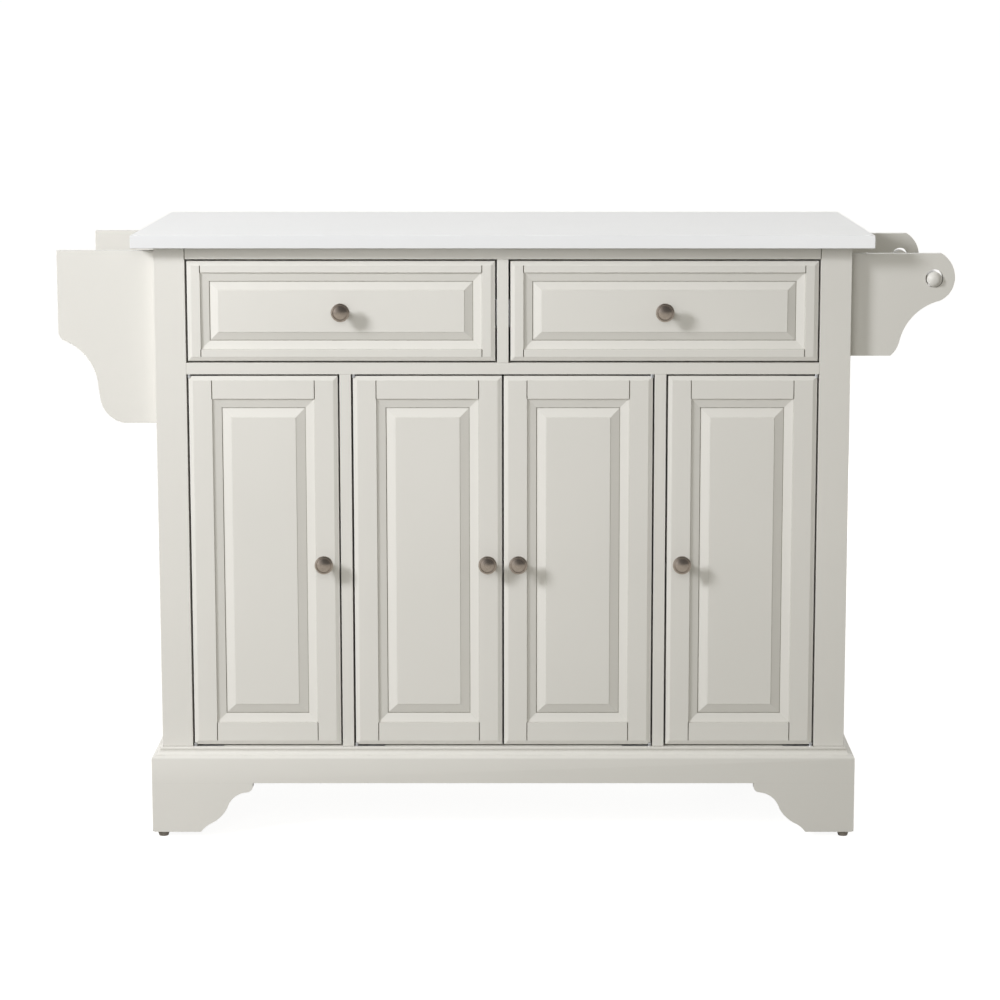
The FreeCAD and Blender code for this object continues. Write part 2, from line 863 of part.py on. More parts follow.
def rack_panel_outline():
    """End panel seen from the front; distances out from the cabinet and down from the top."""
    def point(out, down):
        return V(-cabinet_side - out, 0, rack_top - down)
    nose_out = rack_reach - rack_nose_width
    nose_down = rack_side_height + rack_nose_height
    return [
        line(point(0, 0), point(rack_reach, 0)),
        line(point(rack_reach, 0), point(rack_reach, rack_side_height)),
        bowed(point(rack_reach, rack_side_height), point(nose_out, nose_down), -rack_nose_bulge),
        bowed(point(nose_out, nose_down), point(rack_waist, rack_cove_bottom), rack_cove_sagitta),
        line(point(rack_waist, rack_cove_bottom), point(rack_hip, rack_hip_top)),
        bowed(point(rack_hip, rack_hip_top), point(rack_heel, rack_height), -rack_heel_sagitta),
        line(point(rack_heel, rack_height), point(0, rack_height)),
        line(point(0, rack_height), point(0, 0)),
    ]


def rack_face(which):
    """Front face of the front (0) or the rear (1) end panel."""
    return (-cabinet_front + rack_setback, cabinet_front - rack_rear_setback - rack_thickness)[which]


def make_rack_end_panels():
    panel = sawn(rack_panel_outline(), V(0, rack_thickness, 0))
    panels = []
    for which in (0, 1):
        piece = panel.copy()
        piece.translate(V(0, rack_face(which), 0))
        panels.append(piece)
    return panels


def make_rack_shelves():
    """Shelves between the end panels, reaching in between the posts to the side panel."""
    inner = -opening_side - side_panel_thickness
    shelves = []
    for drop, reach in ((rack_upper_shelf_drop, rack_upper_shelf_reach),
                        (rack_lower_shelf_drop, rack_lower_shelf_reach)):
        z1 = rack_top - drop
        z0 = z1 - rack_shelf_thickness
        outside = board(-cabinet_side - reach, -cabinet_side,
                        rack_face(0) + rack_thickness, rack_face(1), z0, z1)
        inside = board(-cabinet_side, inner, -post_back, post_back, z0, z1)
        shelves.append(outside.fuse(inside).removeSplitter())
    return shelves


def make_rack_rails():
    rails = []
    for drop, reach in ((rack_upper_shelf_drop, rack_upper_shelf_reach),
                        (rack_lower_shelf_drop, rack_lower_shelf_reach)):
        outer = -cabinet_side - reach - rack_rail_outset
        z0 = rack_top - drop + rack_rail_lift
        rails.append(board(outer, outer + rack_rail_thickness,
                           rack_face(0) + rack_thickness, rack_face(1), z0, z0 + rack_rail_height))
    return rails


# ----------------------------------------------------------- towel rod, right end

def towel_bracket_outline():
    """Bracket seen from the front; distances out from the cabinet and down from the top."""
    def point(out, down):
        return V(cabinet_side + out, 0, bracket_top - down)

    def on_nose(radius, degrees):
        angle = math.radians(degrees)
        return point(bracket_reach - radius + radius * math.cos(angle),
                     bracket_nose_drop + radius * math.sin(angle))
    upper = bracket_nose_upper_radius
    lower = bracket_nose_lower_radius
    start_angle = -math.degrees(math.asin(bracket_nose_drop / upper))
    nose_start = on_nose(upper, start_angle)
    nose_end = on_nose(lower, bracket_nose_end_angle)
    waist = point(bracket_cove_waist, bracket_cove_bottom)
    heel = point(bracket_heel_width, bracket_height)
    return [
        line(point(0, 0), nose_start),
        arc(nose_start, on_nose(upper, start_angle / 2), on_nose(upper, 0)),
        arc(on_nose(lower, 0), on_nose(lower, bracket_nose_end_angle / 2), nose_end),
        bowed(nose_end, waist, -bracket_cove_sagitta),
        bowed(waist, heel, bracket_heel_sagitta),
        line(heel, point(0, bracket_height)),
        line(point(0, bracket_height), point(0, 0)),
    ]


def make_towel_brackets():
    hole_z = bracket_top - rod_hole_drop
    hole = rod(V(cabinet_side + rod_reach, -overshoot, hole_z), Y_AXIS,
               rod_hole_radius, rack_thickness + 2 * overshoot)
    bracket = sawn(towel_bracket_outline(), V(0, rack_thickness, 0)).cut(hole)
    brackets = []
    for which in (0, 1):
        piece = bracket.copy()
        piece.translate(V(0, rack_face(which), 0))
        brackets.append(piece)
    return brackets


def make_towel_rod():
    """A dowel whose ends are turned down in two steps to a low dome."""
    half = (rack_face(1) + rack_thickness - rack_face(0)) / 2 + rod_end_reach
    profile = [
        (0, -half),
        (rod_shoulder_radius, rod_shoulder_drop - half),
        (rod_radius, rod_end_height - half),
        (rod_radius, half - rod_end_height),
        (rod_shoulder_radius, half - rod_shoulder_drop),
        (0, half),
        (0, -half),
    ]
    middle = V(cabinet_side + rod_reach, (rack_face(0) + rack_face(1) + rack_thickness) / 2, rod_z)
    points = [middle + V(radius, y, 0) for radius, y in profile]
    return [Part.Face(Part.makePolygon(points)).revolve(middle, Y_AXIS, 360)]


# ------------------------------------------------------------- drop leaf and hinges

def make_leaf_board():
    leaf = eased_board(leaf_width, leaf_depth, leaf_thickness, top_easing)
    leaf.rotate(V(0, 0, 0), X_AXIS, -90)
    return [leaf.translate(V(0, leaf_outer, hinge_z - leaf_axis_gap))]


def hinge_places():
    return (-hinge_spacing, 0.0, hinge_spacing)


def knuckle(x0, x1):
    return rod(V(x0, hinge_y, hinge_z), X_AXIS, knuckle_radius, x1 - x0)


def make_leaf_hinge_plates():
    """Fixed plates under the worktop edge with their outer knuckles and pins."""
    half = hinge_width / 2
    middle = hinge_middle_knuckle / 2 + hinge_knuckle_gap
    z1 = cabinet_top
    z0 = z1 - hinge_sheet
    near = cabinet_front + hinge_plate_gap
    clear = hinge_y - knuckle_radius - knuckle_clearance
    pieces = []
    for x in hinge_places():
        plate = board(x - half, x + half, near, clear, z0, z1)
        for x0, x1 in ((x - half, x - middle), (x + middle, x + half)):
            tongue = board(x0, x1, clear, hinge_y, z0, z1)
            plate = plate.fuse([tongue, knuckle(x0, x1)])
        pin = rod(V(x - half, hinge_y, hinge_z), X_AXIS, hinge_pin_radius, hinge_width)
        pieces.append(plate.fuse(pin).removeSplitter())
    return pieces


def make_leaf_hinge_wings():
    """Plates on the leaf with the middle knuckles, drawn with the leaf hanging."""
    half = hinge_width / 2
    middle = hinge_middle_knuckle / 2
    y1 = leaf_inner
    y0 = y1 - hinge_sheet
    far = hinge_z - hinge_wing_depth
    clear = hinge_z - knuckle_radius - knuckle_clearance
    hole_radius = hinge_pin_radius + hinge_pin_clearance
    pieces = []
    for x in hinge_places():
        plate = board(x - half, x + half, y0, y1, far, clear)
        tongue = board(x - middle, x + middle, y0, y1, clear, hinge_z)
        plate = plate.fuse([tongue, knuckle(x - middle, x + middle)])
        hole = rod(V(x - half, hinge_y, hinge_z), X_AXIS, hole_radius, hinge_width)
        pieces.append(plate.cut(hole).removeSplitter())
    return pieces


# ------------------------------------------------------------------- folding stays

def stay_ear(x, pivot, foot_y):
    """A round-ended lug about a pivot, standing on a foot plate at foot_y."""
    y0, y1 = sorted((pivot.y, foot_y))
    half = stay_bar_half_width
    block = board(x, x + stay_ear_sheet, y0, y1, pivot.z - half, pivot.z + half)
    eye = rod(V(x, pivot.y, pivot.z), X_AXIS, half, stay_ear_sheet)
    return block.fuse(eye)


def make_stay_post_brackets():
    """Angle brackets on the rear posts with the pin that the lower bar turns on."""
    pivot = V(0, anchor_y, anchor_z)
    half = stay_bracket_height / 2
    ear_outside = stay_x + stay_ear_sheet
    foot_end = ear_outside - stay_foot_width
    foot_face = cabinet_front + stay_foot_sheet
    foot = board(foot_end, ear_outside, cabinet_front, foot_face, anchor_z - half, anchor_z + half)
    pin = rod(V(stay_x, pivot.y, pivot.z), X_AXIS, stay_pin_radius,
              lower_bar_x + stay_bar_thickness - stay_x)
    bracket = foot.fuse([stay_ear(stay_x, pivot, cabinet_front), pin])
    return at_both_ends(bracket.removeSplitter())


def make_stay_leaf_brackets():
    """Angle brackets on the leaf, facing the other way, with the upper bar's pin."""
    pivot = V(0, leaf_anchor_y, anchor_z)
    half = stay_bracket_height / 2
    ear_outside = leaf_ear_x + stay_ear_sheet
    foot_end = leaf_ear_x + stay_foot_width
    foot_face = leaf_inner - stay_foot_sheet
    foot = board(leaf_ear_x, foot_end, foot_face, leaf_inner, anchor_z - half, anchor_z + half)
    pin = rod(V(upper_bar_x, pivot.y, pivot.z), X_AXIS, stay_pin_radius, ear_outside - upper_bar_x)
    bracket = foot.fuse([stay_ear(leaf_ear_x, pivot, leaf_inner), pin])
    return at_both_ends(bracket.removeSplitter())


def stay_bar(x, pivot, knee, rivet_side):
    """A flat round-ended bar with a hole at its pivot and half of the knee rivet."""
    along = (knee - pivot).normalize()
    across = V(0, -along.z, along.y) * stay_bar_half_width
    thickness = V(stay_bar_thickness, 0, 0)
    base = V(x, 0, 0)
    middle = prism([base + pivot + across, base + knee + across,
                    base + knee - across, base + pivot - across], thickness)
    ends = [rod(base + end, X_AXIS, stay_bar_half_width, stay_bar_thickness) for end in (pivot, knee)]
    hole = rod(base + pivot, X_AXIS, stay_pin_radius + stay_pin_clearance, stay_bar_thickness)
    rivet_x = x - stay_rivet_height if rivet_side < 0 else x + stay_bar_thickness
    rivet = rod(V(rivet_x, knee.y, knee.z), X_AXIS, stay_rivet_radius, stay_rivet_height)
    return middle.fuse(ends).cut(hole).fuse(rivet).removeSplitter()


def make_lower_stay_bars():
    return at_both_ends(stay_bar(lower_bar_x, V(0, anchor_y, anchor_z), V(0, knee_y, knee_z), -1))


def make_upper_stay_bars():
    return at_both_ends(stay_bar(upper_bar_x, V(0, leaf_anchor_y, anchor_z), V(0, knee_y, knee_z), 1))


# ------------------------------------------------------------------- all the pieces

def make_all():
    pieces = {
        "countertop": make_countertop(),
        "corner_posts": make_corner_posts(),
        "front_rails": make_front_rails(),
        "front_stiles": make_front_stiles(),
        "side_panels": make_side_panels(),
        "back_panel": make_back_panel(),
        "rear_stretcher": make_rear_stretcher(),
        "cabinet_floor": make_cabinet_floor(),
        "drawer_deck": make_drawer_deck(),
        "cupboard_partitions": make_partitions(),
        "drawer_divider": make_drawer_divider(),
        "cupboard_shelves": make_shelves(),
        "shelf_pins": make_shelf_pins(),
        "base_boards": make_base_boards(),
        "bracket_feet": make_bracket_feet(),
        "floor_glides": make_floor_glides(),
        "door_pivots_fixed": make_cabinet_pivots(),
        "drawer_tracks": make_drawer_tracks(),
        "rack_end_panels": make_rack_end_panels(),
        "rack_shelves": make_rack_shelves(),
        "rack_rails": make_rack_rails(),
        "towel_brackets": make_towel_brackets(),
        "towel_rod": make_towel_rod(),
        "leaf_board": make_leaf_board(),
        "leaf_hinge_plates": make_leaf_hinge_plates(),
        "leaf_hinge_wings": make_leaf_hinge_wings(),
        "stay_post_brackets": make_stay_post_brackets(),
        "stay_leaf_brackets": make_stay_leaf_brackets(),
        "lower_stay_bars": make_lower_stay_bars(),
        "upper_stay_bars": make_upper_stay_bars(),
    }
    for side_name, sign in (("left", -1), ("right", 1)):
        pieces.update(make_drawer(side_name, sign))
    for number in range(1, door_count + 1):
        pieces.update(make_door(number))
    return pieces


def write_parts(pieces):
    os.makedirs("parts", exist_ok=True)
    for name, solids in pieces.items():
        for solid in solids:
            solid.translate(V(-middle_x, -middle_y, 0))
        shape = solids[0] if len(solids) == 1 else Part.makeCompound(solids)
        shape.exportStep("parts/%s.step" % name)
        print("%-28s %2d" % (name, len(shape.Solids)))


write_parts(make_all())
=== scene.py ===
# %% [markdown]
# # A drop leaf kitchen island, dressed
# The island is drawn in CAD and packed as a frame: every board, knob and hinge is already in
# its place. This notebook dresses that frame. It rounds the arrises that sanding and paint
# leave soft, turns the knobs, and gives every piece a finish made of nodes.

# %% Load the frame
import json
import math

import bpy
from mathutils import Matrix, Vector

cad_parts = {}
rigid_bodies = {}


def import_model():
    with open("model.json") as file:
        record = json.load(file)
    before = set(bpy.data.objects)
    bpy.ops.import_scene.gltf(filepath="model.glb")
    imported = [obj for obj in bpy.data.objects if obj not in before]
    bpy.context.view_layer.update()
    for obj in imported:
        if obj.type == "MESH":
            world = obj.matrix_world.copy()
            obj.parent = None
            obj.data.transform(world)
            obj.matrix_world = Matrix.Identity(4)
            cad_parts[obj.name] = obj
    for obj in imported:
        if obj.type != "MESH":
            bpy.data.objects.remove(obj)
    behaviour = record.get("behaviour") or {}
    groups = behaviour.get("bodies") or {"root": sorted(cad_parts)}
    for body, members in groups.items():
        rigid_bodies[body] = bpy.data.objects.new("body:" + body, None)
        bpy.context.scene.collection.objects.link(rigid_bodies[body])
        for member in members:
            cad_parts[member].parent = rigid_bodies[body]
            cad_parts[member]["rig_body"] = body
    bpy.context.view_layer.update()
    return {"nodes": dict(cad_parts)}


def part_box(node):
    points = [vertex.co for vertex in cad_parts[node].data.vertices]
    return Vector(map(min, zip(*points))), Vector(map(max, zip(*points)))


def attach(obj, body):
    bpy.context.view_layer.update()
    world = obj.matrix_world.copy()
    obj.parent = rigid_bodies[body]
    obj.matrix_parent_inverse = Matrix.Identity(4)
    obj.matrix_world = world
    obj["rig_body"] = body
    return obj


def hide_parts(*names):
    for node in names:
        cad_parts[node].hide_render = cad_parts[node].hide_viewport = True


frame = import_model()
MM = 0.001

# %% [markdown]
# ## The camera
# The photograph looks almost straight at the front, from a little above the worktop. The
# upright lines stay upright, so the camera is nearly level and its picture is shifted down,
# as an architect's camera does. Part of the drop is tilt, because a larger shift would push
# the island out of the other views.

# %% Camera
camera_data = bpy.data.cameras.new("photo_camera")
camera_data.sensor_width = 36.0
camera_data.lens = 93.32
camera_data.shift_x = -0.0219
camera_data.shift_y = -0.12
camera = bpy.data.objects.new("photo_camera", camera_data)
camera.location = (0.0235, -4.0178, 1.2378)
camera.rotation_euler = (math.radians(90.0 - 8.085), 0.0, 0.0)
bpy.context.scene.collection.objects.link(camera)
bpy.context.scene.camera = camera
print("camera at", tuple(camera.location), "lens", camera_data.lens)

# %% [markdown]
# ## Helpers for nodes
# A finish is a small tree of nodes. These helpers add a node with its settings and join two
# sockets, so that each finish below reads as a short recipe.

# %% Node helpers
def new_finish(name, roughness, metallic=0.0):
    """A material with its Principled shader, ready for nodes."""
    finish = bpy.data.materials.new(name)
    finish.use_nodes = True
    shader = finish.node_tree.nodes["Principled BSDF"]
    shader.inputs["Roughness"].default_value = roughness
    shader.inputs["Metallic"].default_value = metallic
    return finish, shader


def add_node(finish, kind, **settings):
    """A node of that kind; a setting is a socket's value or the node's own property."""
    node = finish.node_tree.nodes.new(kind)
    for name, value in settings.items():
        if name in node.inputs:
            node.inputs[name].default_value = value
        else:
            setattr(node, name, value)
    return node


def join(finish, out_socket, in_socket):
    finish.node_tree.links.new(out_socket, in_socket)


def placed_pattern(finish, scale, location=(0.0, 0.0, 0.0), rotation=(0.0, 0.0, 0.0)):
    """The piece's own coordinates, moved, turned and stretched for a pattern."""
    coordinates = add_node(finish, "ShaderNodeTexCoord")
    mapping = add_node(finish, "ShaderNodeMapping", Location=location, Rotation=rotation, Scale=scale)
    join(finish, coordinates.outputs["Object"], mapping.inputs["Vector"])
    return mapping.outputs["Vector"]


def noise(finish, vector, scale, detail=4.0, roughness=0.5):
    texture = add_node(finish, "ShaderNodeTexNoise", Scale=scale, Detail=detail, Roughness=roughness)
    join(finish, vector, texture.inputs["Vector"])
    return texture.outputs["Fac"]


def spread(finish, value, low, high, out_low, out_high):
    """Takes the part of a value between low and high, and spreads it from out_low to out_high."""
    ranger = add_node(finish, "ShaderNodeMapRange")
    ranger.inputs["From Min"].default_value = low
    ranger.inputs["From Max"].default_value = high
    ranger.inputs["To Min"].default_value = out_low
    ranger.inputs["To Max"].default_value = out_high
    join(finish, value, ranger.inputs["Value"])
    return ranger.outputs["Result"]


def two_tones(finish, factor, first, second):
    """A colour between two, by a factor from 0 to 1."""
    mixer = add_node(finish, "ShaderNodeMix", data_type="RGBA")
    mixer.inputs[6].default_value = (*first, 1.0)
    mixer.inputs[7].default_value = (*second, 1.0)
    join(finish, factor, mixer.inputs[0])
    return mixer.outputs[2]


def painted_crease_shade(finish, tone, reach, shade):
    """The tone with painted shade: darker in creases narrower than reach, where shade would fall."""
    hollow = add_node(finish, "ShaderNodeAmbientOcclusion", samples=6, Distance=reach)
    crease = add_node(finish, "ShaderNodeMix", data_type="RGBA", blend_type="MULTIPLY")
    crease.inputs[7].default_value = (*shade, 1.0)
    join(finish, spread(finish, hollow.outputs["AO"], 0.45, 0.9, 1.0, 0.0), crease.inputs[0])
    join(finish, tone, crease.inputs[6])
    return crease.outputs[2]


def relief(finish, height, distance, strength=1.0, under=None):
    """Bump from a height, in metres, on top of the relief under it."""
    bump = add_node(finish, "ShaderNodeBump", Distance=distance, Strength=strength)
    join(finish, height, bump.inputs["Height"])
    if under is not None:
        join(finish, under, bump.inputs["Normal"])
    return bump.outputs["Normal"]


print("node helpers ready")

# %% [markdown]
# ## Painted wood
# The cabinet is sprayed with a warm off-white satin lacquer over wood. Close up it has three
# scales: the wood's long grain, barely telegraphing through the paint, the fine orange peel
# of the spray, and a slow drift of tone from one board to the next. Each scale is one noise.

# %% Painted wood finish
def painted_wood(name, light, dark, grain_scale, gloss=0.36):
    finish, shader = new_finish(name, gloss)
    shader.inputs["Specular IOR Level"].default_value = 0.42
    grain = noise(finish, placed_pattern(finish, grain_scale), 1.0, detail=5.0, roughness=0.6)
    even = placed_pattern(finish, (1.0, 1.0, 1.0))
    drift = noise(finish, even, 2.6, detail=2.0)
    peel = noise(finish, even, 620.0, detail=2.0)
    handled = noise(finish, even, 23.0, detail=6.0, roughness=0.65)
    tone = two_tones(finish, spread(finish, drift, 0.3, 0.7, 0.0, 1.0), light, dark)
    # Painted shade: the paint's tone is darkened towards a brown-grey in creases narrower than 1.6 mm, where shade
    # falls.
    tone = painted_crease_shade(finish, tone, 1.6 * MM, (0.36, 0.34, 0.30))
    join(finish, tone, shader.inputs["Base Color"])
    join(finish, spread(finish, handled, 0.3, 0.75, gloss - 0.05, gloss + 0.09), shader.inputs["Roughness"])
    under = relief(finish, grain, 0.00010, 0.5)
    join(finish, relief(finish, peel, 0.00004, 0.4, under), shader.inputs["Normal"])
    return finish


upright_grain = (170.0, 170.0, 5.0)
level_grain = (5.0, 170.0, 170.0)
deep_grain = (170.0, 5.0, 170.0)
cream_light = (0.80, 0.785, 0.745)
cream_dark = (0.765, 0.752, 0.712)
cream_upright = painted_wood("cream_paint_upright_grain", cream_light, cream_dark, upright_grain)
cream_level = painted_wood("cream_paint_level_grain", cream_light, cream_dark, level_grain)
rod_paint = painted_wood("cream_paint_turned_rod", (0.82, 0.81, 0.775), (0.80, 0.787, 0.75), deep_grain, 0.3)
print("painted finishes", cream_upright.name, cream_level.name, rod_paint.name)

# %% [markdown]
# ## The worktop's lacquer
# The worktop is whiter and cooler than the cabinet and flatter, so it gets less grain and a
# little more gloss, with faint wiping marks that only change how sharp a reflection is.

# %% Worktop finish
def worktop_lacquer():
    finish, shader = new_finish("worktop_white_lacquer", 0.3)
    shader.inputs["Specular IOR Level"].default_value = 0.45
    even = placed_pattern(finish, (1.0, 1.0, 1.0))
    drift = noise(finish, even, 3.5, detail=3.0)
    wiping = noise(finish, placed_pattern(finish, (3.0, 22.0, 22.0)), 2.0, detail=6.0, roughness=0.7)
    peel = noise(finish, even, 520.0, detail=2.0)
    grain = noise(finish, placed_pattern(finish, level_grain), 1.0, detail=4.0)
    tone = two_tones(finish, spread(finish, drift, 0.3, 0.7, 0.0, 1.0), (0.878, 0.886, 0.905), (0.858, 0.867, 0.886))
    join(finish, tone, shader.inputs["Base Color"])
    join(finish, spread(finish, wiping, 0.3, 0.75, 0.31, 0.35), shader.inputs["Roughness"])
    under = relief(finish, grain, 0.00005, 0.4)
    join(finish, relief(finish, peel, 0.00003, 0.35, under), shader.inputs["Normal"])
    return finish


worktop_white = worktop_lacquer()
print("worktop finish", worktop_white.name)

# %% [markdown]
# ## Pale wood for the drawer boxes
# Inside, the drawer boxes are clear-sealed birch. Straight grain is a noise stretched along
# the board with a second, finer one for the pores, both darkening the same pale brown.

# %% Drawer wood
def pale_wood():
    finish, shader = new_finish("sealed_birch", 0.45)
    rings = noise(finish, placed_pattern(finish, (60.0, 2.2, 60.0)), 1.0, detail=3.0, roughness=0.55)
    pores = noise(finish, placed_pattern(finish, (900.0, 26.0, 900.0)), 1.0, detail=3.0, roughness=0.7)
    tone = two_tones(finish, spread(finish, rings, 0.35, 0.68, 0.0, 1.0), (0.80, 0.66, 0.46), (0.62, 0.46, 0.28))
    darker = add_node(finish, "ShaderNodeMix", data_type="RGBA", blend_type="MULTIPLY")
    darker.inputs[7].default_value = (0.72, 0.62, 0.5, 1.0)
    join(finish, spread(finish, pores, 0.56, 0.72, 0.0, 0.55), darker.inputs[0])
    join(finish, tone, darker.inputs[6])
    join(finish, darker.outputs[2], shader.inputs["Base Color"])
    join(finish, spread(finish, pores, 0.4, 0.7, 0.4, 0.55), shader.inputs["Roughness"])
    join(finish, relief(finish, pores, 0.00008, 0.5), shader.inputs["Normal"])
    return finish


birch = pale_wood()
print("drawer wood", birch.name)

# %% [markdown]
# ## Metals and plastic
# Knobs are satin nickel, turned and brushed, so their marks run round the axis. Hinges,
# pivots, tracks and stays are zinc plated sheet with a faint crystal spangle. The glides are
# grey-brown moulded plastic with a sparked texture.

# %% Nickel, zinc and plastic
def turned_nickel(name, centre):
    """Brushed round its own axis, which runs front to back through centre."""
    finish, shader = new_finish(name, 0.3, 1.0)
    shader.inputs["Base Color"].default_value = (0.56, 0.51, 0.46, 1.0)
    offset = tuple(-c for c in centre)
    turned = placed_pattern(finish, (1.0, 1.0, 1.0), location=offset)
    apart = add_node(finish, "ShaderNodeSeparateXYZ")
    join(finish, turned, apart.inputs["Vector"])
    flat = add_node(finish, "ShaderNodeCombineXYZ")
    join(finish, apart.outputs["X"], flat.inputs["X"])
    join(finish, apart.outputs["Z"], flat.inputs["Y"])
    length = add_node(finish, "ShaderNodeVectorMath", operation="LENGTH")
    join(finish, flat.outputs["Vector"], length.inputs[0])
    rings = add_node(finish, "ShaderNodeCombineXYZ")
    join(finish, length.outputs["Value"], rings.inputs["X"])
    join(finish, apart.outputs["Y"], rings.inputs["Y"])
    marks = noise(finish, rings.outputs["Vector"], 5200.0, detail=3.0, roughness=0.7)
    cloud = noise(finish, turned, 160.0, detail=3.0)
    tone = two_tones(finish, spread(finish, cloud, 0.3, 0.7, 0.0, 1.0), (0.52, 0.45, 0.39), (0.45, 0.385, 0.33))
    join(finish, tone, shader.inputs["Base Color"])
    join(finish, spread(finish, marks, 0.3, 0.7, 0.22, 0.38), shader.inputs["Roughness"])
    join(finish, relief(finish, marks, 0.00002, 0.5), shader.inputs["Normal"])
    return finish


def zinc_plate():
    finish, shader = new_finish("zinc_plated_steel", 0.38, 1.0)
    even = placed_pattern(finish, (1.0, 1.0, 1.0))
    crystals = add_node(finish, "ShaderNodeTexVoronoi", Scale=420.0, feature="F1")
    join(finish, even, crystals.inputs["Vector"])
    brushed = noise(finish, placed_pattern(finish, (2200.0, 120.0, 120.0)), 1.0, detail=2.0)
    bloom = noise(finish, even, 45.0, detail=5.0, roughness=0.6)
    tone = two_tones(finish, crystals.outputs["Color"], (0.66, 0.67, 0.69), (0.58, 0.59, 0.61))
    join(finish, tone, shader.inputs["Base Color"])
    join(finish, spread(finish, bloom, 0.3, 0.7, 0.3, 0.5), shader.inputs["Roughness"])
    join(finish, relief(finish, brushed, 0.00002, 0.4), shader.inputs["Normal"])
    return finish


def moulded_plastic():
    finish, shader = new_finish("glide_moulded_plastic", 0.55)
    even = placed_pattern(finish, (1.0, 1.0, 1.0))
    sparked = noise(finish, even, 1500.0, detail=2.0)
    scuffs = noise(finish, even, 90.0, detail=5.0, roughness=0.7)
    tone = two_tones(finish, spread(finish, scuffs, 0.35, 0.7, 0.0, 1.0), (0.36, 0.32, 0.29), (0.45, 0.41, 0.38))
    join(finish, tone, shader.inputs["Base Color"])
    join(finish, spread(finish, scuffs, 0.3, 0.7, 0.48, 0.66), shader.inputs["Roughness"])
    join(finish, relief(finish, sparked, 0.00006, 0.5), shader.inputs["Normal"])
    return finish


zinc = zinc_plate()
glide_plastic = moulded_plastic()
print("metal and plastic", zinc.name, glide_plastic.name)

# %% [markdown]
# ## Arrises softened by sanding and paint
# No painted board has a knife edge: it is sanded, and the paint draws a small radius over
# it. That thin round catches the light and draws the object's lines. The CAD boards are
# sharp, so each visible one is copied, its loose triangles are merged, flat triangles are
# dissolved into whole faces, and a bevel of a few tenths of a millimetre follows every long
# outer edge. Mitres are filled and painted over, so the faces inside them are taken away
# first. The V grooves of the joints and the short arcs round the pivots stay as sharp as cut,
# and both the grooves and the quirk, the small step at the moulding, are cut a little deeper,
# because they draw crisp dark lines.

# %% Softening helper
def only(piece):
    """Leaves this one piece selected and active."""
    if bpy.context.object is not None and bpy.context.object.mode != "OBJECT":
        bpy.ops.object.mode_set(mode="OBJECT")
    bpy.ops.object.select_all(action="DESELECT")
    piece.select_set(True)
    bpy.context.view_layer.objects.active = piece


def apply_modifiers(piece):
    only(piece)
    for modifier in list(piece.modifiers):
        bpy.ops.object.modifier_apply(modifier=modifier.name)


def mark_arrises(piece, least_angle=50.0, least_length=1.2):
    """Gives a bevel weight to the outer edges that are long and sharp enough to be sanded."""
    mesh = piece.data
    weights = mesh.attributes.new("bevel_weight_edge", "FLOAT", "EDGE")
    beside = {}
    for face in mesh.polygons:
        for key in face.edge_keys:
            beside.setdefault(key, []).append(face)
    for edge in mesh.edges:
        faces = beside.get(edge.key, [])
        start, end = (mesh.vertices[index].co for index in edge.vertices)
        if len(faces) != 2 or (end - start).length < least_length * MM:
            continue
        first, second = faces
        outward = (second.center - first.center).dot(first.normal) < 0.0
        if outward and first.normal.angle(second.normal) > math.radians(least_angle):
            weights.data[edge.index].value = 1.0


def cut_deeper(piece, depth, extra):
    """Pushes the edges that lie at that depth behind the front face further in."""
    front = min(vertex.co.y for vertex in piece.data.vertices)
    for vertex in piece.data.vertices:
        vertex.select = abs(vertex.co.y - front - depth * MM) < 0.02 * MM
    bpy.ops.object.mode_set(mode="EDIT")
    bpy.ops.transform.translate(value=(0.0, extra * MM, 0.0))
    bpy.ops.object.mode_set(mode="OBJECT")


def softened(node, radius, finish, segments=2, smooth_angle=20.0, deeper=0.0):
    """A merged copy of a CAD node with rounded arrises, which stands for the node."""
    source = frame["nodes"][node]
    piece = bpy.data.objects.new(node + "_painted", source.data.copy())
    bpy.context.scene.collection.objects.link(piece)
    only(piece)
    bpy.ops.mesh.customdata_custom_splitnormals_clear()
    bpy.ops.object.mode_set(mode="EDIT")
    bpy.ops.mesh.select_all(action="SELECT")
    bpy.ops.mesh.remove_doubles(threshold=0.004 * MM)
    bpy.ops.mesh.dissolve_limited(angle_limit=math.radians(0.4))
    bpy.ops.mesh.select_all(action="DESELECT")
    bpy.ops.mesh.select_interior_faces()
    bpy.ops.mesh.delete(type="ONLY_FACE")
    bpy.ops.mesh.select_mode(type="VERT")
    bpy.ops.mesh.select_all(action="DESELECT")
    bpy.ops.object.mode_set(mode="OBJECT")
    if deeper > 0.0:
        cut_deeper(piece, quirk_depth, deeper)
    mark_arrises(piece)
    bevel = piece.modifiers.new("arris", "BEVEL")
    bevel.width = radius * MM
    bevel.segments = segments
    bevel.limit_method = "WEIGHT"
    apply_modifiers(piece)
    bpy.ops.object.shade_smooth_by_angle(angle=math.radians(smooth_angle))
    piece.data.materials.clear()
    piece.data.materials.append(finish)
    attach(piece, source["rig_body"])
    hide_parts(node)
    return piece


def faces_of(piece):
    return len(piece.data.polygons)


# %% [markdown]
# ## The cabinet's boards
# Posts, stiles, panels and partitions stand upright, rails, shelves and mouldings lie level,
# and the wood's grain follows the length of each board. So the boards are softened in two
# lists, and each list gets the paint whose grain runs its own way. One finish for all would
# show the grain running across the posts.

